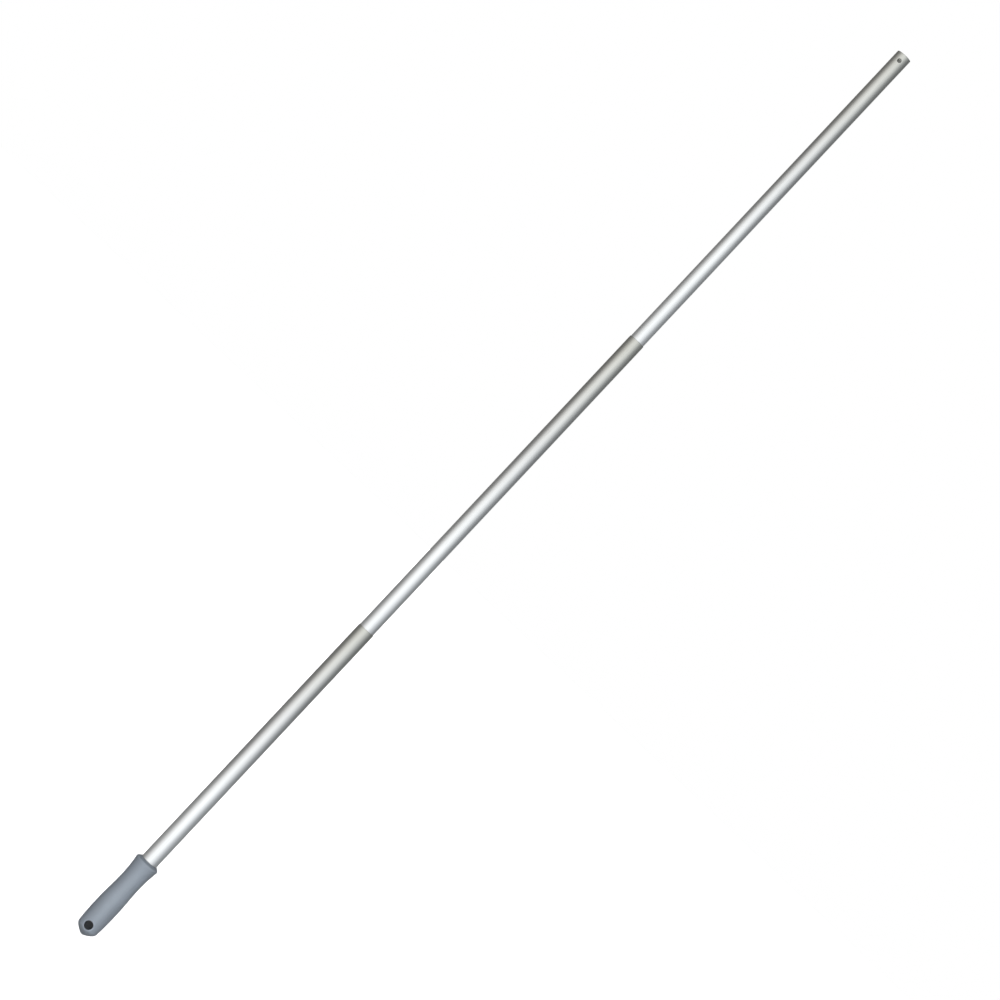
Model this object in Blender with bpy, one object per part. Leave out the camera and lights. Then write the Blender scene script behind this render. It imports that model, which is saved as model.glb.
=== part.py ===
"""Three-section telescopic aluminium staff for a stop/slow paddle, with a moulded grip and cam twist locks.

The staff stands along +Z. The middle of the grip's butt is the origin, and the hanging hole faces -Y.
"""

import math

import bmesh
import bpy
from mathutils import Matrix, Vector

MM = 0.001

# Heights along the staff, fully set up for use.
LOWER_MOUTH = 573.5 * MM
UPPER_MOUTH = 1117.5 * MM
TOP_END = 1655.0 * MM

# Tubes, each of which slides in the one before.
OUTER_RADIUS = 13.0 * MM
MIDDLE_RADIUS = 12.15 * MM
TOP_RADIUS = 11.35 * MM
WALL = 0.6 * MM
OVERLAP = 50.0 * MM
MOUTH_CLEARANCE = 0.1 * MM
ROLL_LENGTH = 4.0 * MM
EDGE_ROUND = 0.25 * MM

# Gaps between pieces that touch on the real staff.
FIT_GAP = 0.1 * MM
FACE_GAP = 0.3 * MM
RING_GAP = 0.07 * MM

# Grip: a domed butt, a belly, a waist and a flared rim with a sloping end face.
# A pair is (height, radius).
BUTT_FLAT = 2.4 * MM
DOME = (12.2 * MM, 16.25 * MM)
BELLY = (53.5 * MM, 17.65 * MM)
WAIST = (95.3 * MM, 16.2 * MM)
RIM = (131.0 * MM, 18.85 * MM)
RIM_EDGE = (132.8 * MM, 18.4 * MM)
GRIP_TOP = (136.3 * MM, 14.3 * MM)
DOME_POWER = 1.7
BELLY_POWER = 2.5
FLARE_POWER = 2.4
SOCKET_FLOOR = 40.0 * MM

# Hanging hole, which rises towards the back so that the staff hangs back on an upturned peg.
HANG_RADIUS = 6.2 * MM
HANG_HEIGHT = 17.6 * MM
HANG_SLOPE = math.radians(14.0)
HANG_CHAMFER = 1.0 * MM

# Locating hole for the paddle's spring button, in the front wall of the top tube.
BUTTON_HOLE_RADIUS = 3.15 * MM
BUTTON_HOLE_DROP = 11.0 * MM

# Twist lock at the foot of each sliding tube.
SHANK_LENGTH = 30.0 * MM
SHANK_CORE_DEPTH = 22.0 * MM
SHANK_WALL = 3.0 * MM
FLANGE = 3.0 * MM
RING_HEIGHT = 8.0 * MM
NECK_DEPTH = 3.4 * MM
RING_SLIT = 2.0 * MM
CAM_HEIGHT = 12.0 * MM
CAM_OFFSET = 1.0 * MM
CAM_CLEARANCE = 0.08 * MM
CAM_SLIT = 1.4 * MM
UNLOCK_TURN = math.radians(60.0)
PIN_RADIUS = 5.0 * MM
WASHER_RADIUS = 6.8 * MM
WASHER_THICKNESS = 1.0 * MM
SCREW_RADIUS = 1.7 * MM
SCREW_LENGTH = 14.0 * MM
HEAD_RADIUS = 3.3 * MM
HEAD_HEIGHT = 2.2 * MM
CROSS_WIDTH = 0.9 * MM
CROSS_DEPTH = 1.2 * MM
CROSS_PIN_RADIUS = 1.5 * MM
CROSS_PIN_RISE = 12.0 * MM
BUFFER_HEIGHT = 10.0 * MM
BUFFER_DISH = 2.0 * MM

SIDES = 40
SMALL_SIDES = 20
SMOOTH_ANGLE = math.radians(30.0)


def clear_scene():
    for obj in list(bpy.data.objects):
        bpy.data.objects.remove(obj)


def material(name, colour, roughness, metallic=0.0):
    made = bpy.data.materials.new(name)
    made.use_nodes = True
    shader = made.node_tree.nodes["Principled BSDF"]
    shader.inputs["Base Color"].default_value = (*colour, 1.0)
    shader.inputs["Roughness"].default_value = roughness
    shader.inputs["Metallic"].default_value = metallic
    return made


def arc(centre, radius, start, end, steps):
    """Points of a round stretch in the (radius, height) plane, from angle start to angle end in degrees."""
    angles = [math.radians(start + (end - start) * i / steps) for i in range(steps + 1)]
    return [(centre[0] + radius * math.cos(a), centre[1] + radius * math.sin(a)) for a in angles]


def turned(name, outline, finish, sides=SIDES, centre=(0.0, 0.0)):
    """A solid turned about the vertical line through centre, from (radius, height) points in order.

    An outline that starts and ends on the axis stays open there, and any other is closed into a ring.
    """
    mesh = bpy.data.meshes.new(name)
    bm = bmesh.new()
    points = [bm.verts.new((centre[0] + r, centre[1], z)) for r, z in outline]
    edges = [bm.edges.new(pair) for pair in zip(points, points[1:])]
    if outline[0][0] > 0.0 or outline[-1][0] > 0.0:
        edges.append(bm.edges.new((points[-1], points[0])))
    bmesh.ops.spin(
        bm,
        geom=points + edges,
        cent=(centre[0], centre[1], 0.0),
        axis=(0.0, 0.0, 1.0),
        angle=math.tau,
        steps=sides,
        use_merge=True,
    )
    bmesh.ops.remove_doubles(bm, verts=bm.verts, dist=0.001 * MM)
    bmesh.ops.recalc_face_normals(bm, faces=bm.faces)
    bm.to_mesh(mesh)
    bm.free()
    mesh.materials.append(finish)
    mesh.shade_smooth()
    mesh.set_sharp_from_angle(angle=SMOOTH_ANGLE)
    obj = bpy.data.objects.new(name, mesh)
    bpy.context.collection.objects.link(obj)
    return obj


def box(name, size):
    mesh = bpy.data.meshes.new(name)
    bm = bmesh.new()
    bmesh.ops.create_cube(bm, size=1.0, matrix=Matrix.Diagonal((*size, 1.0)))
    bm.to_mesh(mesh)
    bm.free()
    obj = bpy.data.objects.new(name, mesh)
    bpy.context.collection.objects.link(obj)
    return obj


def cut(target, cutter, operation="DIFFERENCE"):
    """Cuts the helper solid out of the target, and hides the helper."""
    cutter.hide_render = True
    cutter.display_type = "WIRE"
    modifier = target.modifiers.new("cut_" + cutter.name, "BOOLEAN")
    modifier.operation = operation
    modifier.object = cutter
    return target


def rod_cutter(name, radius, length, sides=SMALL_SIDES):
    half = length / 2
    return turned(name, [(0.0, -half), (radius, -half), (radius, half), (0.0, half)], None, sides)


def grip_radius(height):
    """Outside radius of the grip, from the edge of its butt flat up to its rim."""
    if height < DOME[0]:
        share = height / DOME[0]
        return BUTT_FLAT + (DOME[1] - BUTT_FLAT) * (1 - (1 - share) ** DOME_POWER)
    if height < BELLY[0]:
        share = (height - DOME[0]) / (BELLY[0] - DOME[0])
        return DOME[1] + (BELLY[1] - DOME[1]) * (1 - (1 - share) ** BELLY_POWER)
    if height < WAIST[0]:
        share = (height - BELLY[0]) / (WAIST[0] - BELLY[0])
        return BELLY[1] + (WAIST[1] - BELLY[1]) * share * share * (3 - 2 * share)
    share = (height - WAIST[0]) / (RIM[0] - WAIST[0])
    return WAIST[1] + (RIM[1] - WAIST[1]) * share**FLARE_POWER


def grip_outline():
    """Butt flat, dome, belly, waist, flare and sloping end face, then down the socket for the tube."""
    dome_steps = 6
    body_steps = 20
    heights = [DOME[0] * i / dome_steps for i in range(dome_steps)]
    heights += [DOME[0] + (RIM[0] - DOME[0]) * i / body_steps for i in range(body_steps + 1)]
    socket = OUTER_RADIUS + FIT_GAP
    outline = [(0.0, 0.0)]
    outline += [(grip_radius(height), height) for height in heights]
    outline += [(RIM_EDGE[1], RIM_EDGE[0]), (GRIP_TOP[1], GRIP_TOP[0]), (socket, GRIP_TOP[0])]
    outline += [(socket, SOCKET_FLOOR), (0.0, SOCKET_FLOOR)]
    return outline


def make_grip(finish):
    grip = turned("grip", grip_outline(), finish)
    crown = grip_radius(HANG_HEIGHT)
    reach = crown / math.cos(HANG_SLOPE)
    flare = 4.0 * MM
    inner = reach - HANG_CHAMFER
    outline = [(0.0, -inner - flare), (HANG_RADIUS + flare, -inner - flare), (HANG_RADIUS, -inner)]
    outline += [(HANG_RADIUS, inner), (HANG_RADIUS + flare, inner + flare), (0.0, inner + flare)]
    cutter = turned("hanging_hole_cutter", outline, None, 32)
    cutter.rotation_euler = (HANG_SLOPE - math.pi / 2, 0.0, 0.0)
    cutter.location = (0.0, 0.0, HANG_HEIGHT + crown * math.tan(HANG_SLOPE))
    return cut(grip, cutter)


def tube_outline(radius, bottom, top, mouth_radius):
    """A drawn tube whose mouth is rolled in to mouth_radius, to guide the tube that slides in it."""
    bore = radius - WALL
    roll = bore - mouth_radius
    lip = radius - roll
    outline = [(radius - EDGE_ROUND, bottom), (radius, bottom + EDGE_ROUND), (radius, top - ROLL_LENGTH)]
    outline += arc((lip - EDGE_ROUND, top - EDGE_ROUND), EDGE_ROUND, 0, 90, 2)
    outline += [(mouth_radius, top), (mouth_radius, top - EDGE_ROUND), (bore, top - ROLL_LENGTH)]
    outline += [(bore, bottom)]
    return outline


def make_tubes(finish):
    lower_mouth_radius = MIDDLE_RADIUS + MOUTH_CLEARANCE
    upper_mouth_radius = TOP_RADIUS + MOUTH_CLEARANCE
    foot = SOCKET_FLOOR + FACE_GAP
    turned("outer_tube", tube_outline(OUTER_RADIUS, foot, LOWER_MOUTH, lower_mouth_radius), finish)
    middle_foot = LOWER_MOUTH - OVERLAP
    middle = turned(
        "middle_tube", tube_outline(MIDDLE_RADIUS, middle_foot, UPPER_MOUTH, upper_mouth_radius), finish
    )
    top_foot = UPPER_MOUTH - OVERLAP
    top = turned("top_tube", tube_outline(TOP_RADIUS, top_foot, TOP_END, TOP_RADIUS - WALL), finish)
    button_cutter = rod_cutter("button_hole_cutter", BUTTON_HOLE_RADIUS, 2 * TOP_RADIUS, 24)
    button_cutter.rotation_euler = (math.pi / 2, 0.0, 0.0)
    button_cutter.location = (0.0, -1.5 * TOP_RADIUS, TOP_END - BUTTON_HOLE_DROP)
    cut(top, button_cutter)
    for tube, foot_height, prefix in ((middle, middle_foot, "lower"), (top, top_foot, "upper")):
        cut(tube, cross_pin_cutter(prefix + "_tube_pin_cutter", foot_height))


def cross_pin_cutter(name, tube_foot):
    cutter = rod_cutter(name, CROSS_PIN_RADIUS + FIT_GAP, 4 * OUTER_RADIUS)
    cutter.rotation_euler = (0.0, math.pi / 2, 0.0)
    cutter.location = (0.0, 0.0, tube_foot + CROSS_PIN_RISE)
    return cutter


def make_plug(prefix, tube_radius, tube_foot, finish):
    """Nylon plug: cored shank in the tube, two flanges with a neck for the guide ring, off-centre pin."""
    shank = tube_radius - WALL - FIT_GAP
    flange = tube_radius - FIT_GAP
    neck = tube_radius - NECK_DEPTH
    core = shank - SHANK_WALL
    top = tube_foot + SHANK_LENGTH
    upper_flange = tube_foot - FACE_GAP
    ring_top = upper_flange - FLANGE
    ring_bottom = ring_top - RING_HEIGHT - 2 * FACE_GAP
    lower_flange = ring_bottom - FLANGE
    outline = [(0.0, lower_flange), (flange, lower_flange), (flange, ring_bottom), (neck, ring_bottom)]
    outline += [(neck, ring_top), (flange, ring_top), (flange, upper_flange), (shank, upper_flange)]
    outline += [(shank, top - 1.0 * MM), (shank - 1.0 * MM, top), (core, top)]
    outline += [(core, top - SHANK_CORE_DEPTH), (0.0, top - SHANK_CORE_DEPTH)]
    plug = turned(prefix + "_lock_plug", outline, finish)
    pin_length = CAM_HEIGHT + 2 * FACE_GAP
    pin_sink = 1.0 * MM
    pin = rod_cutter(prefix + "_pin_joiner", PIN_RADIUS, pin_length + pin_sink, 24)
    pin.location = (CAM_OFFSET, 0.0, lower_flange - (pin_length - pin_sink) / 2)
    cut(plug, pin, "UNION")
    hole_length = 2 * (SCREW_LENGTH + FACE_GAP)
    screw_hole = rod_cutter(prefix + "_screw_hole_cutter", SCREW_RADIUS + FIT_GAP, hole_length)
    screw_hole.location = (CAM_OFFSET, 0.0, lower_flange - pin_length)
    cut(plug, screw_hole)
    cut(plug, cross_pin_cutter(prefix + "_plug_pin_cutter", tube_foot))
    return ring_bottom + FACE_GAP, lower_flange


def make_guide_ring(prefix, tube_radius, bore, bottom, finish):
    """Split ring that centres the plug in the outer bore. It is snapped over the neck through its slit."""
    inner = tube_radius - NECK_DEPTH + FIT_GAP
    outer = bore - RING_GAP
    top = bottom + RING_HEIGHT
    edge = 0.5 * MM
    outline = [(inner, bottom), (outer - edge, bottom), (outer, bottom + edge), (outer, top - edge)]
    outline += [(outer - edge, top), (inner, top)]
    ring = turned(prefix + "_guide_ring", outline, finish)
    slit = box(prefix + "_ring_slit_cutter", (4 * outer, RING_SLIT, 2 * RING_HEIGHT))
    slit.location = (-2 * outer, 0.0, bottom + RING_HEIGHT / 2)
    cut(ring, slit)


def make_cam(prefix, bore, top, finish):
    """Eccentric cam on the plug's pin, jammed in the bore. Turning the tube by UNLOCK_TURN frees it."""
    radius = bore - CAM_OFFSET - CAM_CLEARANCE
    away = UNLOCK_TURN
    centre = (CAM_OFFSET * (1 - math.cos(away)), CAM_OFFSET * math.sin(away))
    bottom = top - CAM_HEIGHT
    edge = 0.6 * MM
    outline = [(0.0, bottom), (radius - edge, bottom), (radius, bottom + edge), (radius, top - edge)]
    outline += [(radius - edge, top), (0.0, top)]
    cam = turned(prefix + "_cam", outline, finish, SIDES, centre)
    bore_cutter = rod_cutter(prefix + "_cam_bore_cutter", PIN_RADIUS + FIT_GAP, 2 * CAM_HEIGHT, 24)
    bore_cutter.location = (CAM_OFFSET, 0.0, bottom + CAM_HEIGHT / 2)
    cut(cam, bore_cutter)
    slit = box(prefix + "_cam_slit_cutter", (4 * radius, CAM_SLIT, 2 * CAM_HEIGHT))
    push = Vector((centre[0], centre[1], 0.0)).normalized()
    slit.rotation_euler = (0.0, 0.0, math.atan2(push.y, push.x))
    slit.location = Vector((CAM_OFFSET, 0.0, bottom + CAM_HEIGHT / 2)) - push * 2 * radius
    cut(cam, slit)


def make_washer(prefix, top, finish):
    bottom = top - WASHER_THICKNESS
    hole = SCREW_RADIUS + FIT_GAP
    outline = [(hole, bottom), (WASHER_RADIUS, bottom), (WASHER_RADIUS, top), (hole, top)]
    turned(prefix + "_cam_washer", outline, finish, SIDES, (CAM_OFFSET, 0.0))


def make_screw(prefix, washer_bottom, finish):
    """Pan-head screw up into the pin, with a cross recess in its head."""
    seat = washer_bottom - FACE_GAP
    head_bottom = seat - HEAD_HEIGHT
    tip = seat + SCREW_LENGTH
    point = 1.5 * MM
    outline = [(0.0, head_bottom), (HEAD_RADIUS * 0.75, head_bottom), (HEAD_RADIUS, head_bottom + 0.8 * MM)]
    outline += [(HEAD_RADIUS, seat), (SCREW_RADIUS, seat), (SCREW_RADIUS, tip - point), (0.0, tip)]
    screw = turned(prefix + "_cam_screw", outline, finish, SMALL_SIDES, (CAM_OFFSET, 0.0))
    for i in range(2):
        arm = box(f"{prefix}_screw_cross_cutter_{i}", (HEAD_RADIUS * 1.2, CROSS_WIDTH, 2 * CROSS_DEPTH))
        arm.rotation_euler = (0.0, 0.0, math.pi / 2 * i)
        arm.location = (CAM_OFFSET, 0.0, head_bottom)
        cut(screw, arm)
    return head_bottom


def make_cross_pin(prefix, tube_radius, tube_foot, finish):
    """Pin across the tube and the plug's shank, which carries the locking turn and ends in the wall."""
    half = tube_radius - 0.15 * MM
    edge = 0.3 * MM
    outline = [(0.0, -half), (CROSS_PIN_RADIUS - edge, -half), (CROSS_PIN_RADIUS, edge - half)]
    outline += [(CROSS_PIN_RADIUS, half - edge), (CROSS_PIN_RADIUS - edge, half), (0.0, half)]
    pin = turned(prefix + "_plug_pin", outline, finish, SMALL_SIDES)
    pin.rotation_euler = (0.0, math.pi / 2, 0.0)
    pin.location = (0.0, 0.0, tube_foot + CROSS_PIN_RISE)


def make_lock(prefix, tube_radius, outer_bore, tube_foot, nylon, acetal, steel):
    """All the pieces of one twist lock, from the plug down to the screw that keeps the cam on."""
    ring_bottom, lower_flange = make_plug(prefix, tube_radius, tube_foot, nylon)
    make_guide_ring(prefix, tube_radius, outer_bore, ring_bottom, acetal)
    cam_top = lower_flange - FACE_GAP
    make_cam(prefix, outer_bore, cam_top, acetal)
    washer_top = cam_top - CAM_HEIGHT - 2 * FACE_GAP
    make_washer(prefix, washer_top, steel)
    make_screw(prefix, washer_top - WASHER_THICKNESS, steel)
    make_cross_pin(prefix, tube_radius, tube_foot, steel)


def make_end_buffer(finish):
    """Rubber plug in the foot of the outer tube, where the middle section lands when it is closed."""
    radius = OUTER_RADIUS - WALL - FIT_GAP
    bottom = SOCKET_FLOOR + 2 * FACE_GAP
    top = bottom + BUFFER_HEIGHT
    outline = [(0.0, bottom), (radius, bottom), (radius, top), (radius - 4.0 * MM, top)]
    outline += [(radius - 5.0 * MM, top - BUFFER_DISH), (0.0, top - BUFFER_DISH)]
    turned("end_buffer", outline, finish)


def main():
    clear_scene()
    aluminium = material("satin_aluminium", (0.74, 0.74, 0.73), 0.34, 1.0)
    grip_plastic = material("grip_plastic", (0.30, 0.34, 0.39), 0.55)
    nylon = material("plug_nylon", (0.08, 0.08, 0.085), 0.5)
    acetal = material("cam_acetal", (0.75, 0.74, 0.70), 0.45)
    steel = material("zinc_plated_steel", (0.60, 0.61, 0.62), 0.3, 1.0)
    rubber = material("buffer_rubber", (0.03, 0.03, 0.03), 0.8)
    make_grip(grip_plastic)
    make_tubes(aluminium)
    make_end_buffer(rubber)
    locks = (
        ("lower", MIDDLE_RADIUS, OUTER_RADIUS, LOWER_MOUTH),
        ("upper", TOP_RADIUS, MIDDLE_RADIUS, UPPER_MOUTH),
    )
    for prefix, tube_radius, housing_radius, mouth in locks:
        make_lock(prefix, tube_radius, housing_radius - WALL, mouth - OVERLAP, nylon, acetal, steel)


main()
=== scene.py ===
import math

import bmesh
import bpy
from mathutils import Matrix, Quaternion, Vector


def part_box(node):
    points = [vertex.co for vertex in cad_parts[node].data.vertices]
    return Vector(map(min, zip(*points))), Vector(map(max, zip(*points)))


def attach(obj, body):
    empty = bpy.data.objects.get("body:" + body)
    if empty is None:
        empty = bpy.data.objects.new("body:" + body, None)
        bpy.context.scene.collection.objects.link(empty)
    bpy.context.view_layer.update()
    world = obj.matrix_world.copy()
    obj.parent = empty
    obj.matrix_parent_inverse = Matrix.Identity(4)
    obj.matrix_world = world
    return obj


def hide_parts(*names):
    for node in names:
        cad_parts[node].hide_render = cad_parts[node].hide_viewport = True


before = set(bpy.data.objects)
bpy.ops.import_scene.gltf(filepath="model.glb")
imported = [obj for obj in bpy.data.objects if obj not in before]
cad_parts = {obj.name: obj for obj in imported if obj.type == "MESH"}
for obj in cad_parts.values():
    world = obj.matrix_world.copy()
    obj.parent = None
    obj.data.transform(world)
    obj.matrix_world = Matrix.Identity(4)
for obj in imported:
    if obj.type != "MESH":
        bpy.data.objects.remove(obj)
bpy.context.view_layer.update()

# The staff stands along +Z with the butt of its grip on the floor, and its front faces -Y.
# Lengths are in metres. Angles around the staff are 0 at the front and grow towards +X.
MM = 0.001

# The grip's outline: the radius of the butt's flat, then pairs of (height, radius) up to the inner edge of the
# end face, and the powers of the curves between them.
BUTT_FLAT = 2.4 * MM
DOME = (12.2 * MM, 16.25 * MM)
BELLY = (53.5 * MM, 17.65 * MM)
WAIST = (95.3 * MM, 16.2 * MM)
RIM = (131.0 * MM, 18.83 * MM)
RIM_EDGE = (132.8 * MM, 18.4 * MM)
GRIP_TOP = (136.3 * MM, 14.3 * MM)
DOME_POWER = 1.7
BELLY_POWER = 2.5
FLARE_POWER = 2.4

# The small rounds on that outline, as (radial, axial) sizes, and the room around the tube in its socket.
BUTT_ROUND = (0.5 * MM, 0.12 * MM)
CREST_ROUND = (0.05 * MM, 0.5 * MM)
END_FACE_ROUND = (0.5 * MM, 0.55 * MM)
CREST_STEPS = 6
SOCKET_GAP = 0.1 * MM
SOCKET_FLOOR_GAP = 0.3 * MM

# Points where the end face levels out, as (out, down) from its inner edge, and where it turns down into the
# socket, as (out, down) from the socket's wall and the end face's top.
END_FACE_TURN = [(0.9 * MM, 0.9 * MM), (0.2 * MM, 0.25 * MM)]
SOCKET_TURN = [(0.35 * MM, 0.0), (0.1 * MM, 0.1 * MM), (0.0, 0.4 * MM)]

# The seam's height, and how far below the rim it starts to fade.
PARTING_LINE = 0.07 * MM
PARTING_FADE = 6.0 * MM

# Holes: the hanging hole through the grip, the button hole and the cross-pin holes in the tubes.
HANG_RADIUS = 6.2 * MM
HANG_HEIGHT = 17.6 * MM
HANG_SLOPE = math.radians(14.0)
HANG_FILLET = 1.0 * MM
HANG_WALL_STEPS = 16
BUTTON_RADIUS = 3.15 * MM
BUTTON_DROP = 11.0 * MM
CROSS_PIN_RISE = 12.0 * MM
CROSS_PIN_HOLE = 1.6 * MM
TUBE_HOLE_FILLET = 0.12 * MM

# A hole takes a window of grid cells, this many to each side. The hanging hole's back end is HANG_RISE_ROWS
# higher than its front end.
HANG_CELLS = 11
HANG_RISE_ROWS = 10
TUBE_HOLE_CELLS = 7

# Rings of faces lead from the window's edge to the hole's rim and over its fillet.
SURFACE_RINGS = 5
SURFACE_RING_POWER = 0.85
FILLET_RINGS = 5

# TURN_NUDGE keeps the first vertex of a ring on the same side of the turn's start. A hole's wall is looked
# for within REACH of the axis, by halving.
TURN_NUDGE = 0.001
REACH = 0.06
HALVINGS = 40

# The tubes. Rounds and chamfers are (radial, axial) sizes.
WALL = 0.6 * MM
MOUTH_GAP = 0.1 * MM
ROLL_LENGTH = 4.0 * MM
LIP_ROUND = (0.4 * MM, 0.9 * MM)
LIP_STEPS = 6
LIP_EDGE = 0.08 * MM
FOOT_CHAMFER = (0.2 * MM, 0.25 * MM)
FOOT_BORE_CHAMFER = 0.1 * MM

# How finely the surfaces are divided.
TUBE_SIDES = 96
GRIP_SIDES = 128
FIRST_ROW = 0.4 * MM
BUTT_ROW = 0.7 * MM
GRIP_ROW = 1.5 * MM
TUBE_ROW = 60.0 * MM
SMOOTH_ANGLE = math.radians(32.0)

# Aluminium along a tube, from the foot that shows (0) to the mouth (1), with painted light and shade: pale at
# the foot, darker and warmer towards the mouth. The roughness goes from the first value at the foot to the
# second at ROUGHNESS_SPAN.
ANODISED_AND_PAINTED_SHADE = [
    (0.0, (0.93, 0.95, 0.97)),
    (0.28, (0.93, 0.95, 0.965)),
    (0.62, (0.755, 0.765, 0.77)),
    (1.0, (0.62, 0.625, 0.588)),
]
BARE_METAL = (0.80, 0.80, 0.79)
TUBE_ROUGHNESS = (0.43, 0.35)
ROUGHNESS_SPAN = 0.7

# The lip is rubbed barest from LIP_WORN below the mouth. The bore is darker by a factor, which fades out
# between two depths under the tube's surface.
LIP_WORN = 0.2 * MM
BORE_DARKENING = 0.88
BORE_FADE = (0.5 * MM, 0.25 * MM)

# Grip plastic. The factors paint shade on the end face and inside the hanging hole, and paint a highlight on
# the hole's rim. Each comes in or fades out over a range of heights from RIM_EDGE, or of distances beyond
# HANG_RADIUS.
GRIP_DARK = (0.275, 0.315, 0.367)
GRIP_LIGHT = (0.303, 0.347, 0.405)
GRIP_SHEEN = 0.75
LEDGE_PAINTED_SHADE = 0.66
LEDGE_FADE = (-0.3 * MM, 0.9 * MM)
HOLE_PAINTED_SHADE = 0.1
HOLE_FADE = (0.1 * MM, 0.9 * MM)
RIM_PAINTED_HIGHLIGHT = 1.2
RIM_HIGHLIGHT_FADE = (1.2 * MM, 2.8 * MM)

# Soft lights: azimuth around the staff, elevation and spread in degrees, then strength.
SOFT_LIGHTS = [
    (7, 8, 50, 3.9),
    (-118, 15, 60, 0.4),
    (130, 15, 60, 0.4),
    (184, 25, 60, 1.3),
    (0, 85, 80, 0.25),
]

# What the studio shows in reflections: brightness from behind the staff (0) to in front of it (1), and a tint
# from its left (0) to its right (1). The floor's glow comes in between two depths below the horizon.
BACK_TO_FRONT = [
    (0.0, 0.8),
    (0.015, 0.6),
    (0.05, 0.25),
    (0.12, 0.15),
    (0.36, 0.15),
    (0.64, 0.25),
    (0.84, 0.62),
    (1.0, 1.0),
]
LEFT_TO_RIGHT = [(0.0, (1.0, 0.985, 0.955)), (0.85, (0.96, 0.985, 0.993)), (1.0, (1.12, 1.17, 1.20))]
BRIGHT_SIDE = math.radians(-1.5)
STUDIO_STRENGTH = 1.27
FLOOR_GLOW = 0.22
FLOOR_GLOW_DEPTHS = (-0.2, -0.5)
WHITE = (1.0, 1.0, 1.0, 1.0)
FLOOR_PAPER = (0.86, 0.86, 0.86, 1.0)
FLOOR_RADIUS = 30.0
FLOOR_DROP = 0.5 * MM

# The camera's lens is given by its focal length in pixels of the square frame.
CAMERA_HEIGHT = 0.829
CAMERA_DISTANCE = 4.816
CAMERA_AZIMUTH = math.radians(3.5)
CAMERA_SIDEWAYS = 0.0119
CAMERA_ROLL = math.radians(43.15)
CAMERA_FAR = 100.0
FOCAL_PIXELS = 3500.0
FRAME_PIXELS = 1000.0
SENSOR = 36.0


# ---------------------------------------------------------------- meshes


def around(radius, angle, height):
    """The point at that angle around the staff."""
    return Vector((radius * math.sin(angle), -radius * math.cos(angle), height))


def make_object(name, bm, finish, body, nodes):
    """Turns a bmesh into a smooth-shaded piece that rides on a CAD body and stands for CAD nodes."""
    bmesh.ops.recalc_face_normals(bm, faces=bm.faces)
    mesh = bpy.data.meshes.new(name)
    bm.to_mesh(mesh)
    bm.free()
    mesh.materials.append(finish)
    mesh.shade_smooth()
    mesh.set_sharp_from_angle(angle=SMOOTH_ANGLE)
    piece = bpy.data.objects.new(name, mesh)
    bpy.context.scene.collection.objects.link(piece)
    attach(piece, body)
    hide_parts(*nodes)
    return piece


class Hole:
    """One end of a hole through a lathe surface, and the window of grid cells that it takes.

    axis points from the staff's centre line out through this end, and inward points from the surface into
    the material. radius_at gives the surface's radius at a height. The window reaches cells columns to each
    side of angle, from the first to the last of rows, which are row_step apart.
    """

    def __init__(self, angle, height, origin, axis, inward, radius_at, cells, row_step, rows):
        self.angle = angle
        self.height = height
        self.origin = origin
        self.axis = axis
        self.inward = inward
        self.radius_at = radius_at
        self.cells = cells
        self.row_step = row_step
        self.rows = rows

    def on_surface(self, across, up, across_axis, up_axis):
        """Where the line along the hole's axis, offset across and up, meets the lathe surface."""
        start = self.origin + across_axis * across + up_axis * up
        low, high = 0.0, REACH
        for _ in range(HALVINGS):
            middle = (low + high) / 2
            point = start + self.axis * middle
            if math.hypot(point.x, point.y) < self.radius_at(point.z):
                low = middle
            else:
                high = middle
        return start + self.axis * low


def lathe_grid(bm, profile, sides, windows):
    """Vertices and faces of a closed profile turned around the staff, leaving out each window's cells.

    profile is a closed list of (radius, height). A point of radius 0 becomes one shared vertex.
    windows is a list of (first column, last column, first row, last row).
    """
    grid = []
    for radius, height in profile:
        if radius == 0.0:
            grid.append([bm.verts.new((0.0, 0.0, height))] * sides)
        else:
            grid.append([bm.verts.new(around(radius, math.tau * i / sides, height)) for i in range(sides)])
    closed = profile[0][0] > 0.0
    for row in range(len(profile) if closed else len(profile) - 1):
        upper = (row + 1) % len(profile)
        for column in range(sides):
            if any(inside(column, row, window, sides) for window in windows):
                continue
            after = (column + 1) % sides
            corners = [grid[row][column], grid[row][after], grid[upper][after], grid[upper][column]]
            bm.faces.new(list(dict.fromkeys(corners)))
    return grid


def inside(column, row, window, sides):
    """Whether the grid cell lies in the window."""
    first_column, last_column, first_row, last_row = window
    return (column - first_column) % sides < last_column - first_column and first_row <= row < last_row


def window_of(hole, sides):
    """The hole's window as (first column, last column, first row, last row)."""
    middle = round(hole.angle / math.tau * sides)
    return (middle - hole.cells, middle + hole.cells, hole.rows[0], hole.rows[1])


def rim_loop(hole, grid, sides, across_axis):
    """The vertices along the window's edge, in order, as (angle around the hole, vertex, angle, height)."""
    first_column, last_column, first_row, last_row = window_of(hole, sides)
    middle_column = (first_column + last_column) / 2
    middle_row = (first_row + last_row) / 2
    column_step = hole.radius_at(hole.height) * math.tau / sides
    side = around(1.0, hole.angle + math.pi / 2, 0.0).dot(across_axis)
    upward = 1.0 if grid[last_row][0].co.z > grid[first_row][0].co.z else -1.0
    spots = [(c, first_row) for c in range(first_column, last_column)]
    spots += [(last_column, r) for r in range(first_row, last_row)]
    spots += [(c, last_row) for c in range(last_column, first_column, -1)]
    spots += [(first_column, r) for r in range(last_row, first_row, -1)]
    loop = []
    for column, row in spots:
        across = side * (column - middle_column) * column_step
        up = upward * (row - middle_row) * hole.row_step
        turn = (math.atan2(up, across) + TURN_NUDGE) % math.tau
        vert = grid[row][column % sides]
        loop.append((turn, vert, math.tau * column / sides, vert.co.z))
    return sorted(loop, key=lambda spot: spot[0])


def bridge(bm, first, second):
    """A band of faces between two rings of as many vertices."""
    count = len(first)
    for i in range(count):
        after = (i + 1) % count
        bm.faces.new((first[i], first[after], second[after], second[i]))


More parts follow.
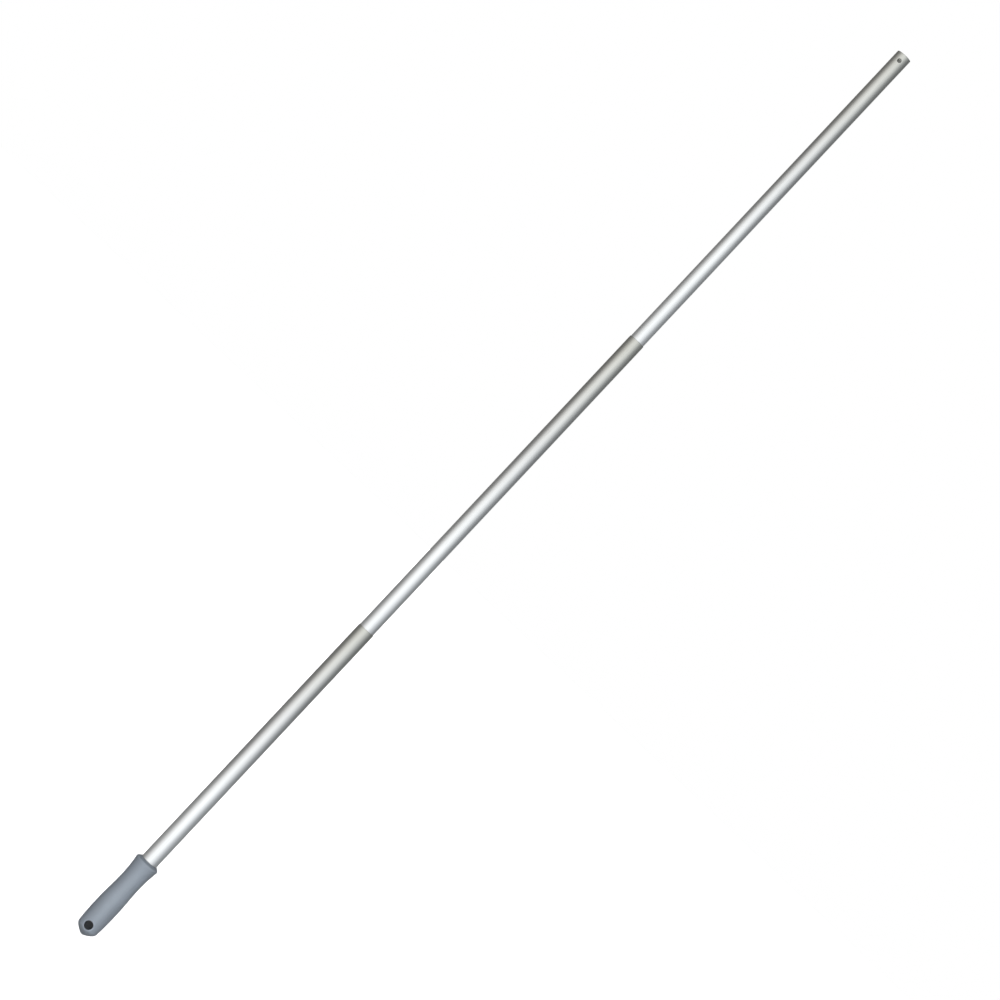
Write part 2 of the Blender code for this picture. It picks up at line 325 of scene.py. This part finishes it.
def pierce(bm, grid, sides, ends, radius, fillet, wall_steps):
    """Joins two windows by a round hole whose rims are filleted."""
    across_axis = around(1.0, ends[0].angle + math.pi / 2, 0.0)
    up_axis = ends[0].axis.cross(across_axis).normalized()
    if up_axis.z < 0.0:
        up_axis = -up_axis
    front, back = (funnel(bm, grid, sides, end, radius, fillet, across_axis, up_axis) for end in ends)
    previous = front
    for step in range(1, wall_steps):
        share = step / wall_steps
        ring = [bm.verts.new(a.co.lerp(b.co, share)) for a, b in zip(front, back)]
        bridge(bm, previous, ring)
        previous = ring
    bridge(bm, previous, back)


def funnel(bm, grid, sides, end, radius, fillet, across_axis, up_axis):
    """The faces from the window's edge over the surface and the fillet into the hole, and their last ring."""
    loop = rim_loop(end, grid, sides, across_axis)
    mouths = []
    for nudged, _, _, _ in loop:
        turn = nudged - TURN_NUDGE
        across, up = math.cos(turn), math.sin(turn)
        wide = radius + fillet
        mouth = end.on_surface(wide * across, wide * up, across_axis, up_axis)
        edge = end.on_surface(radius * across, radius * up, across_axis, up_axis)
        mouths.append((mouth, edge))
    rings = [[spot[1] for spot in loop]]
    for step in range(1, SURFACE_RINGS + 1):
        share = (step / SURFACE_RINGS) ** SURFACE_RING_POWER
        ring = []
        for (_, _, angle, height), (mouth, _) in zip(loop, mouths):
            mouth_angle = math.atan2(mouth.x, -mouth.y)
            gap = (mouth_angle - angle + math.pi) % math.tau - math.pi
            at_height = height + (mouth.z - height) * share
            ring.append(bm.verts.new(around(end.radius_at(at_height), angle + gap * share, at_height)))
        rings.append(ring)
    for step in range(1, FILLET_RINGS + 1):
        share = step / FILLET_RINGS
        ring = [bezier(share, mouth, edge, edge + end.inward * fillet) for mouth, edge in mouths]
        rings.append([bm.verts.new(point) for point in ring])
    for outer, inner in zip(rings, rings[1:]):
        bridge(bm, outer, inner)
    return rings[-1]


def bezier(share, start, control, end):
    """The point at that share of a quadratic curve, for numbers or vectors."""
    return start * (1 - share) ** 2 + control * 2 * share * (1 - share) + end * share**2


def spaced(start, end, step):
    """Values from start to end, both included, about step apart."""
    count = max(1, round(abs(end - start) / step))
    return [start + (end - start) * i / count for i in range(count + 1)]


# ---------------------------------------------------------------- the grip


def grip_radius(height):
    """The grip's outline: dome, belly, waist and flare."""
    if height < DOME[0]:
        share = height / DOME[0]
        return BUTT_FLAT + (DOME[1] - BUTT_FLAT) * (1 - (1 - share) ** DOME_POWER)
    if height < BELLY[0]:
        share = (height - DOME[0]) / (BELLY[0] - DOME[0])
        return DOME[1] + (BELLY[1] - DOME[1]) * (1 - (1 - share) ** BELLY_POWER)
    if height < WAIST[0]:
        share = (height - BELLY[0]) / (WAIST[0] - BELLY[0])
        return BELLY[1] + (WAIST[1] - BELLY[1]) * share * share * (3 - 2 * share)
    share = (height - WAIST[0]) / (RIM[0] - WAIST[0])
    return WAIST[1] + (RIM[1] - WAIST[1]) * share**FLARE_POWER


def make_grip(finish):
    """The moulded handle, with its socket and the slanted hanging hole."""
    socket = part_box("outer_tube")[1].x + SOCKET_GAP
    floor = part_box("outer_tube")[0].z - SOCKET_FLOOR_GAP
    crown = grip_radius(HANG_HEIGHT)
    back_height = HANG_HEIGHT + 2 * crown * math.tan(HANG_SLOPE)
    row_step = (back_height - HANG_HEIGHT) / HANG_RISE_ROWS
    low = HANG_HEIGHT - HANG_CELLS * row_step
    high = back_height + HANG_CELLS * row_step
    butt = [(0.0, 0.0), (BUTT_FLAT - BUTT_ROUND[0], 0.0), (BUTT_FLAT, BUTT_ROUND[1])]
    heights = spaced(FIRST_ROW, low, BUTT_ROW)[:-1]
    first_front = len(butt) + len(heights)
    heights += [low + row_step * i for i in range(2 * HANG_CELLS + HANG_RISE_ROWS)]
    heights += spaced(high, RIM[0], GRIP_ROW)
    profile = butt + [(grip_radius(height), height) for height in heights] + rounded_rim()
    profile += socket_mouth(socket) + [(socket, floor), (0.0, floor)]
    out = Vector((0.0, -math.cos(HANG_SLOPE), -math.sin(HANG_SLOPE)))
    origin = Vector((0.0, 0.0, HANG_HEIGHT + crown * math.tan(HANG_SLOPE)))
    front_rows = (first_front, first_front + 2 * HANG_CELLS)
    back_rows = (front_rows[0] + HANG_RISE_ROWS, front_rows[1] + HANG_RISE_ROWS)
    shared = {"radius_at": grip_radius, "cells": HANG_CELLS, "row_step": row_step}
    front = Hole(0.0, HANG_HEIGHT, origin, out, -out, rows=front_rows, **shared)
    back = Hole(math.pi, back_height, origin, -out, out, rows=back_rows, **shared)
    bm = bmesh.new()
    windows = [window_of(hole, GRIP_SIDES) for hole in (front, back)]
    grid = lathe_grid(bm, profile, GRIP_SIDES, windows)
    pierce(bm, grid, GRIP_SIDES, (front, back), HANG_RADIUS, HANG_FILLET, HANG_WALL_STEPS)
    raise_parting_lines(grid[len(butt) : len(butt) + len(heights)])
    return make_object("moulded_grip", bm, finish, "handle_section", ["grip"])


def socket_mouth(socket):
    """The end face's flat inner ring, turned down into the socket by a small round."""
    return [(socket + out, GRIP_TOP[0] - down) for out, down in SOCKET_TURN]


def raise_parting_lines(rows):
    """Lifts the two side columns of the moulding into a fine seam, where the mould's halves met."""
    for row in rows:
        for column in (GRIP_SIDES // 4, 3 * GRIP_SIDES // 4):
            vert = row[column]
            fade = min(1.0, vert.co.z / DOME[0], (RIM[0] - vert.co.z) / PARTING_FADE)
            out = Vector((vert.co.x, vert.co.y, 0.0)).normalized()
            vert.co += out * PARTING_LINE * max(0.0, fade)


def rounded_rim():
    """The flare's crest, rounded over into the sloping end face, and the end face's inner edge."""
    start = (RIM[1], RIM[0])
    control = (RIM[1] + CREST_ROUND[0], RIM_EDGE[0] - CREST_ROUND[1])
    end = (RIM_EDGE[1] - END_FACE_ROUND[0], RIM_EDGE[0] + END_FACE_ROUND[1])
    points = []
    for i in range(1, CREST_STEPS + 1):
        points.append(tuple(bezier(i / CREST_STEPS, *values) for values in zip(start, control, end)))
    height, radius = GRIP_TOP
    return points + [(radius + out, height - down) for out, down in END_FACE_TURN]


# ---------------------------------------------------------------- the tubes


def make_tube(node, mouth_radius, hole_specs, finish, body):
    """A drawn tube with a rolled mouth and rounded ends, pierced by holes of (angle, height, radius)."""
    low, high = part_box(node)
    radius = high.x
    bore = radius - WALL
    cell = 2 * math.pi * radius / TUBE_SIDES
    heights = tube_rows(low.z, high.z, cell, hole_specs)
    profile = [(radius - FOOT_CHAMFER[0], low.z)]
    outer_start = len(profile)
    profile += [(radius, height) for height in heights]
    profile += rolled_lip(radius - (bore - mouth_radius), mouth_radius, high.z)
    inner_start = len(profile)
    profile += [(bore, height) for height in reversed(heights)]
    profile.append((bore + FOOT_BORE_CHAMFER, low.z))
    holes = []
    for angle, height, hole_radius in hole_specs:
        below = height - cell * TUBE_HOLE_CELLS
        first = min(range(len(heights)), key=lambda i: abs(heights[i] - below))
        last = first + 2 * TUBE_HOLE_CELLS
        turned = inner_start + len(heights) - 1
        axis = around(1.0, angle, 0.0)
        origin = Vector((0.0, 0.0, height))
        shared = {"origin": origin, "axis": axis, "cells": TUBE_HOLE_CELLS, "row_step": cell}
        outer_rows = (outer_start + first, outer_start + last)
        inner_rows = (turned - last, turned - first)
        outer = Hole(angle, height, inward=-axis, radius_at=lambda z: radius, rows=outer_rows, **shared)
        inner = Hole(angle, height, inward=axis, radius_at=lambda z: bore, rows=inner_rows, **shared)
        holes.append((outer, inner, hole_radius))
    bm = bmesh.new()
    windows = [window_of(hole, TUBE_SIDES) for pair in holes for hole in pair[:2]]
    grid = lathe_grid(bm, profile, TUBE_SIDES, windows)
    for outer, inner, hole_radius in holes:
        pierce(bm, grid, TUBE_SIDES, (outer, inner), hole_radius, TUBE_HOLE_FILLET, 1)
    return make_object("drawn_" + node, bm, finish, body, [node])


def tube_rows(bottom, top, cell, hole_specs):
    """Heights of the tube's rows: square cells around its holes, and long ones up to the rolled mouth."""
    heights = [bottom + FOOT_CHAMFER[1]]
    for height in sorted({round(height, 6) for _, height, _ in hole_specs}):
        heights += [height + cell * (i - TUBE_HOLE_CELLS) for i in range(2 * TUBE_HOLE_CELLS + 1)]
    heights += spaced(heights[-1], top - ROLL_LENGTH, TUBE_ROW)[1:]
    return sorted(heights)


def rolled_lip(neck, mouth_radius, top):
    """The mouth rolled inwards: a rounded lip outside, a flat end and a broken inner edge."""
    shoulder = top - LIP_ROUND[1]
    points = []
    for i in range(LIP_STEPS + 1):
        turn = math.pi / 2 * i / LIP_STEPS
        points.append((neck - LIP_ROUND[0] * (1 - math.cos(turn)), shoulder + LIP_ROUND[1] * math.sin(turn)))
    return points + [(mouth_radius + LIP_EDGE, top), (mouth_radius, top - LIP_EDGE)]


def make_tubes(finishes):
    """The three tubes. Each mouth is rolled in to guide the next tube, and cross pins hold the locks."""
    middle_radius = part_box("middle_tube")[1].x
    top_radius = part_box("top_tube")[1].x
    make_tube("outer_tube", middle_radius + MOUTH_GAP, [], finishes["outer_tube"], "handle_section")
    for node, body, mouth in (
        ("middle_tube", "middle_section", top_radius + MOUTH_GAP),
        ("top_tube", "top_section", top_radius - WALL),
    ):
        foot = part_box(node)[0].z
        holes = [(turn, foot + CROSS_PIN_RISE, CROSS_PIN_HOLE) for turn in (math.pi / 2, 3 * math.pi / 2)]
        if node == "top_tube":
            holes.append((0.0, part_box(node)[1].z - BUTTON_DROP, BUTTON_RADIUS))
        make_tube(node, mouth, holes, finishes[node], body)


# ---------------------------------------------------------------- materials


class Nodes:
    """Adds shader nodes to a tree."""

    def __init__(self, tree):
        self.tree = tree

    def add(self, kind, links=None, **values):
        """A node, with its inputs linked and its inputs or settings given values."""
        node = self.tree.nodes.new(kind)
        for key, value in values.items():
            if key in node.inputs:
                node.inputs[key].default_value = value
            else:
                setattr(node, key, value)
        for key, source in (links or {}).items():
            self.tree.links.new(source, node.inputs[key])
        return node

    def object_position(self, scale=(1.0, 1.0, 1.0)):
        """The place in the piece's own coordinates, each axis scaled."""
        place = self.add("ShaderNodeTexCoord").outputs["Object"]
        mapping = self.add("ShaderNodeMapping", {"Vector": place})
        mapping.inputs["Scale"].default_value = scale
        return mapping.outputs["Vector"]

    def noise(self, scale, stretch=(1.0, 1.0, 1.0), detail=3.0, roughness=0.5):
        """Noise of about scale waves to a metre. A stretch under 1 draws it out along that axis."""
        return self.add(
            "ShaderNodeTexNoise",
            {"Vector": self.object_position(stretch)},
            Scale=scale,
            Detail=detail,
            Roughness=roughness,
        ).outputs["Fac"]

    def span(self, source, low, high, to_low=0.0, to_high=1.0):
        """The source taken from low..high to to_low..to_high, and held at the ends."""
        node = self.add("ShaderNodeMapRange", {"Value": source})
        node.inputs["From Min"].default_value = low
        node.inputs["From Max"].default_value = high
        node.inputs["To Min"].default_value = to_low
        node.inputs["To Max"].default_value = to_high
        return node.outputs["Result"]

    def math(self, operation, first, second):
        node = self.add("ShaderNodeMath", operation=operation)
        for i, value in enumerate((first, second)):
            if isinstance(value, (int, float)):
                node.inputs[i].default_value = value
            else:
                self.tree.links.new(value, node.inputs[i])
        return node.outputs["Value"]

    def ramp(self, source, stops):
        node = self.add("ShaderNodeValToRGB", {"Fac": source})
        points = node.color_ramp.elements
        while len(points) < len(stops):
            points.new(0.5)
        for point, (position, colour) in zip(points, stops):
            point.position = position
            point.color = (*colour, 1.0)
        return node.outputs["Color"]

    def mix(self, share, first, second, blend="MIX"):
        node = self.add("ShaderNodeMix", data_type="RGBA", blend_type=blend)
        for name, value in (("Factor", share), ("A", first), ("B", second)):
            socket = next(s for s in node.inputs if s.name == name and s.enabled)
            if isinstance(value, (int, float)):
                socket.default_value = value
            elif isinstance(value, tuple):
                socket.default_value = (*value, 1.0)
            else:
                self.tree.links.new(value, socket)
        return next(s for s in node.outputs if s.name == "Result" and s.enabled)

    def grey(self, level):
        links = {"Red": level, "Green": level, "Blue": level}
        return self.add("ShaderNodeCombineColor", links).outputs["Color"]

    def bump(self, height, strength, distance, normal=None):
        links = {"Height": height}
        if normal is not None:
            links["Normal"] = normal
        return self.add("ShaderNodeBump", links, Strength=strength, Distance=distance).outputs["Normal"]


class Finish(Nodes):
    """A material's nodes around its Principled shader."""

    def __init__(self, name):
        self.material = bpy.data.materials.new(name)
        self.material.use_nodes = True
        super().__init__(self.material.node_tree)
        self.shader = self.tree.nodes["Principled BSDF"]

    def set(self, name, value):
        """Gives a socket of the shader a value or links a source to it."""
        if isinstance(value, (int, float)):
            self.shader.inputs[name].default_value = value
        else:
            self.tree.links.new(value, self.shader.inputs[name])


def tube_finish(name, low, high, radius):
    """Satin anodised aluminium with painted light and shade: palest at the tube's foot, darker and warmer
    above, with fine drawn lines.

    The lip is rubbed bright, sliding has left faint lengthwise scuffs, and the bore is slightly darker.
    """
    made = Finish(name)
    height = made.add("ShaderNodeSeparateXYZ", {"Vector": made.object_position()}).outputs["Z"]
    flat = made.object_position((1.0, 1.0, 0.0))
    off_axis = made.add("ShaderNodeVectorMath", {0: flat}, operation="LENGTH").outputs["Value"]
    patches = made.noise(9.0, stretch=(1.0, 1.0, 0.35), detail=2.0)
    lines = made.noise(1500.0, stretch=(1.0, 1.0, 0.012), detail=3.0, roughness=0.6)
    streaks = made.noise(260.0, stretch=(1.0, 1.0, 0.03), detail=2.0)
    rubbing = made.noise(700.0, stretch=(1.0, 1.0, 0.045), detail=3.0, roughness=0.65)
    waves = made.noise(45.0, stretch=(1.0, 1.0, 0.08), detail=2.0)
    scuffs = made.span(rubbing, 0.62, 0.70)
    share = made.math("ADD", made.span(height, low, high), made.span(patches, 0.3, 0.7, -0.03, 0.03))
    tone = made.span(lines, 0.3, 0.7, 0.93, 1.02)
    tone = made.math("MULTIPLY", tone, made.span(streaks, 0.3, 0.7, 0.965, 1.015))
    tone = made.math("MULTIPLY", tone, made.span(scuffs, 0.0, 1.0, 1.0, 0.93))
    # The ramp paints light and shade along the tube: pale at the foot, darker and warmer towards the mouth.
    colour = made.mix(1.0, made.ramp(share, ANODISED_AND_PAINTED_SHADE), made.grey(tone), "MULTIPLY")
    edge = made.span(height, high - LIP_ROUND[1], high - LIP_WORN)
    worn = made.math("MULTIPLY", edge, made.span(made.noise(420.0), 0.38, 0.6, 0.1, 0.7))
    colour = made.mix(worn, colour, BARE_METAL)
    wall = made.span(off_axis, radius - BORE_FADE[0], radius - BORE_FADE[1], BORE_DARKENING, 1.0)
    made.set("Base Color", made.mix(1.0, colour, made.grey(wall), "MULTIPLY"))
    rough = made.span(streaks, 0.3, 0.7, -0.03, 0.04)
    rough = made.math("ADD", rough, made.span(share, 0.0, ROUGHNESS_SPAN, *TUBE_ROUGHNESS))
    rough = made.math("ADD", rough, made.span(scuffs, 0.0, 1.0, 0.0, 0.06))
    made.set("Metallic", 1.0)
    made.set("Roughness", made.math("SUBTRACT", rough, made.span(worn, 0.0, 1.0, 0.0, 0.1)))
    fine = made.bump(lines, 0.3, 0.00004)
    made.set("Normal", made.bump(waves, 0.1, 0.0001, fine))
    return made.material


def grip_finish():
    """Blue-grey moulded plastic with a fine matt grain and faint mottling.

    It has a painted highlight round the hanging hole, and painted shade darkens the hole and the ledge around
    the tube.
    """
    made = Finish("grip_plastic")
    mottling = made.noise(60.0, (1.0, 1.0, 0.5), 4.0)
    speckle = made.noise(1400.0, detail=2.0)
    colour = made.ramp(mottling, [(0.3, GRIP_DARK), (0.7, GRIP_LIGHT)])
    tone = made.span(speckle, 0.35, 0.65, 0.96, 1.03)
    tone = made.math("MULTIPLY", tone, hole_shade_and_highlight(made))
    height = made.add("ShaderNodeSeparateXYZ", {"Vector": made.object_position()}).outputs["Z"]
    # Painted shade: the end face around the tube is darkened.
    ledge = made.span(height, RIM_EDGE[0] + LEDGE_FADE[0], RIM_EDGE[0] + LEDGE_FADE[1], 1.0, LEDGE_PAINTED_SHADE)
    tone = made.math("MULTIPLY", tone, ledge)
    made.set("Base Color", made.mix(1.0, colour, made.grey(tone), "MULTIPLY"))
    made.set("Roughness", made.span(mottling, 0.3, 0.7, 0.42, 0.5))
    made.set("Specular IOR Level", GRIP_SHEEN)
    grain = made.bump(made.noise(1900.0, detail=3.0, roughness=0.65), 0.55, 0.00012)
    made.set("Normal", made.bump(made.noise(120.0, detail=2.0), 0.12, 0.0001, grain))
    return made.material


def hole_shade_and_highlight(made):
    """Brightness by distance from the hanging hole's axis: painted shade inside, a painted highlight at the
    rim, 1 beyond.
    """
    crown = grip_radius(HANG_HEIGHT)
    through = Vector((0.0, math.cos(HANG_SLOPE), math.sin(HANG_SLOPE)))
    middle = Vector((0.0, 0.0, HANG_HEIGHT + crown * math.tan(HANG_SLOPE)))
    away = made.add("ShaderNodeVectorMath", {0: made.object_position()}, operation="SUBTRACT")
    away.inputs[1].default_value = middle
    across = made.add("ShaderNodeVectorMath", {0: away.outputs["Vector"]}, operation="CROSS_PRODUCT")
    across.inputs[1].default_value = through
    length = made.add("ShaderNodeVectorMath", {0: across.outputs["Vector"]}, operation="LENGTH")
    distance = length.outputs["Value"]
    # A painted highlight brightens a ring around the hole's rim.
    near, far = (HANG_RADIUS + beyond for beyond in RIM_HIGHLIGHT_FADE)
    rim_highlight = made.span(distance, near, far, RIM_PAINTED_HIGHLIGHT, 1.0)
    # Painted shade darkens the inside of the hole.
    near, far = (HANG_RADIUS + beyond for beyond in HOLE_FADE)
    hole_shade = made.span(distance, near, far, HOLE_PAINTED_SHADE, 1.0)
    return made.math("MULTIPLY", rim_highlight, hole_shade)


def plain_finish(name, dark, light, rough, metallic, scale, grain):
    """A moulded or plated finish: slight colour variation, uneven gloss and a fine grain."""
    made = Finish(name)
    variation = made.noise(scale, detail=4.0)
    made.set("Base Color", made.ramp(variation, [(0.3, dark), (0.7, light)]))
    made.set("Metallic", metallic)
    made.set("Roughness", made.span(variation, 0.3, 0.7, rough - 0.06, rough + 0.08))
    made.set("Normal", made.bump(made.noise(scale * 12, detail=2.0), grain, 0.00008))
    return made.material


def finish_inner_nodes():
    """Gives the lock pieces and the buffer, which keep their CAD shape, their own finishes."""
    nylon = plain_finish("black_nylon", (0.028, 0.028, 0.03), (0.05, 0.05, 0.053), 0.5, 0.0, 90.0, 0.3)
    acetal = plain_finish("natural_acetal", (0.68, 0.67, 0.62), (0.78, 0.77, 0.73), 0.42, 0.0, 70.0, 0.2)
    steel = plain_finish("zinc_plated_steel", (0.52, 0.53, 0.55), (0.68, 0.69, 0.70), 0.3, 1.0, 160.0, 0.15)
    rubber = plain_finish("buffer_rubber", (0.016, 0.016, 0.017), (0.032, 0.032, 0.032), 0.82, 0.0, 60.0, 0.5)
    finishes = {
        "lock_plug": nylon,
        "guide_ring": acetal,
        "cam": acetal,
        "cam_washer": steel,
        "cam_screw": steel,
        "plug_pin": steel,
    }
    for prefix in ("lower_", "upper_"):
        for piece, finish in finishes.items():
            paint(prefix + piece, finish)
    paint("end_buffer", rubber)


def paint(node, finish):
    """Gives a CAD node's mesh the finish in every material slot."""
    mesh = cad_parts[node].data
    if not mesh.materials:
        mesh.materials.append(finish)
    for i in range(len(mesh.materials)):
        mesh.materials[i] = finish


# ---------------------------------------------------------------- studio and camera


def make_floor():
    """A wide pale sheet under the staff, which looks as white as the rest of the studio."""
    bm = bmesh.new()
    bmesh.ops.create_circle(bm, cap_ends=True, segments=64, radius=FLOOR_RADIUS)
    mesh = bpy.data.meshes.new("studio_floor")
    bm.to_mesh(mesh)
    bm.free()
    finish = Finish("floor_paper")
    finish.set("Roughness", 0.9)
    finish.set("Emission Strength", 1.0)
    finish.shader.inputs["Base Color"].default_value = FLOOR_PAPER
    finish.shader.inputs["Emission Color"].default_value = WHITE
    mesh.materials.append(finish.material)
    floor = bpy.data.objects.new("studio_floor", mesh)
    bpy.context.scene.collection.objects.link(floor)
    floor.location.z = -FLOOR_DROP
    floor.visible_glossy = False
    floor.visible_diffuse = False


def make_world():
    """White to look at. Reflections show a wide soft front that falls off to dim sides, and a soft back."""
    world = bpy.data.worlds.new("studio")
    bpy.context.scene.world = world
    world.use_nodes = True
    world.node_tree.nodes.clear()
    sky = Nodes(world.node_tree)
    place = sky.add("ShaderNodeTexCoord").outputs["Generated"]
    split = sky.add("ShaderNodeSeparateXYZ", {"Vector": place})
    facing = sky.add("ShaderNodeVectorMath", {0: place}, operation="DOT_PRODUCT")
    facing.inputs[1].default_value = around(1.0, BRIGHT_SIDE, 0.0)
    levels = [(position, (level, level, level)) for position, level in BACK_TO_FRONT]
    light = sky.ramp(sky.span(facing.outputs["Value"], -1.0, 1.0), levels)
    glow = sky.span(split.outputs["Z"], *FLOOR_GLOW_DEPTHS, 0.0, FLOOR_GLOW)
    tint = sky.ramp(sky.span(split.outputs["X"], -1.0, 1.0), LEFT_TO_RIGHT)
    light = sky.mix(1.0, sky.mix(1.0, light, glow, "ADD"), tint, "MULTIPLY")
    reflected = sky.add("ShaderNodeBackground", {"Color": light}, Strength=STUDIO_STRENGTH)
    seen = sky.add("ShaderNodeBackground", Color=WHITE)
    rays = sky.add("ShaderNodeLightPath")
    shaders = {1: reflected.outputs["Background"], 2: seen.outputs["Background"]}
    chosen = sky.add("ShaderNodeMixShader", {"Fac": rays.outputs["Is Camera Ray"], **shaders})
    sky.add("ShaderNodeOutputWorld", {"Surface": chosen.outputs["Shader"]})
    world.cycles_visibility.diffuse = False


def make_lights():
    """Wide soft lights for the matt surfaces: a key from the front, weaker ones behind, beside and above."""
    for i, (azimuth, elevation, spread, strength) in enumerate(SOFT_LIGHTS):
        data = bpy.data.lights.new("soft_light", "SUN")
        data.angle = math.radians(spread)
        data.energy = strength
        light = bpy.data.objects.new("soft_light_" + str(i), data)
        bpy.context.scene.collection.objects.link(light)
        high = math.radians(elevation)
        source = around(math.cos(high), math.radians(azimuth), math.sin(high))
        light.rotation_mode = "QUATERNION"
        light.rotation_quaternion = source.to_track_quat("Z", "Y")
        light.visible_glossy = False


def make_camera():
    """Level camera in front of the staff at half its height, rolled so that the staff leans to the right."""
    data = bpy.data.cameras.new("camera")
    data.sensor_width = SENSOR
    data.lens = SENSOR * FOCAL_PIXELS / FRAME_PIXELS
    data.clip_end = CAMERA_FAR
    camera = bpy.data.objects.new("camera", data)
    bpy.context.scene.collection.objects.link(camera)
    away = around(1.0, CAMERA_AZIMUTH, 0.0)
    level = Vector((-away.y, away.x, 0.0))
    height = Vector((0.0, 0.0, CAMERA_HEIGHT))
    camera.location = away * CAMERA_DISTANCE + level * CAMERA_SIDEWAYS + height
    camera.rotation_mode = "QUATERNION"
    roll = Quaternion(Vector((0.0, 0.0, 1.0)), CAMERA_ROLL)
    camera.rotation_quaternion = away.to_track_quat("Z", "Y") @ roll
    bpy.context.scene.camera = camera


def main():
    """Builds the pieces around the CAD bodies, then the studio and the camera."""
    tube_bounds = {node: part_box(node) for node in ("outer_tube", "middle_tube", "top_tube")}
    visible_low = {
        "outer_tube": GRIP_TOP[0],
        "middle_tube": tube_bounds["outer_tube"][1].z,
        "top_tube": tube_bounds["middle_tube"][1].z,
    }
    finishes = {
        node: tube_finish("anodised_painted_shade_" + node, visible_low[node], high.z, high.x)
        for node, (_, high) in tube_bounds.items()
    }
    make_grip(grip_finish())
    make_tubes(finishes)
    finish_inner_nodes()
    make_floor()
    make_world()
    make_lights()
    make_camera()
    bpy.context.scene.view_settings.view_transform = "Standard"


main()
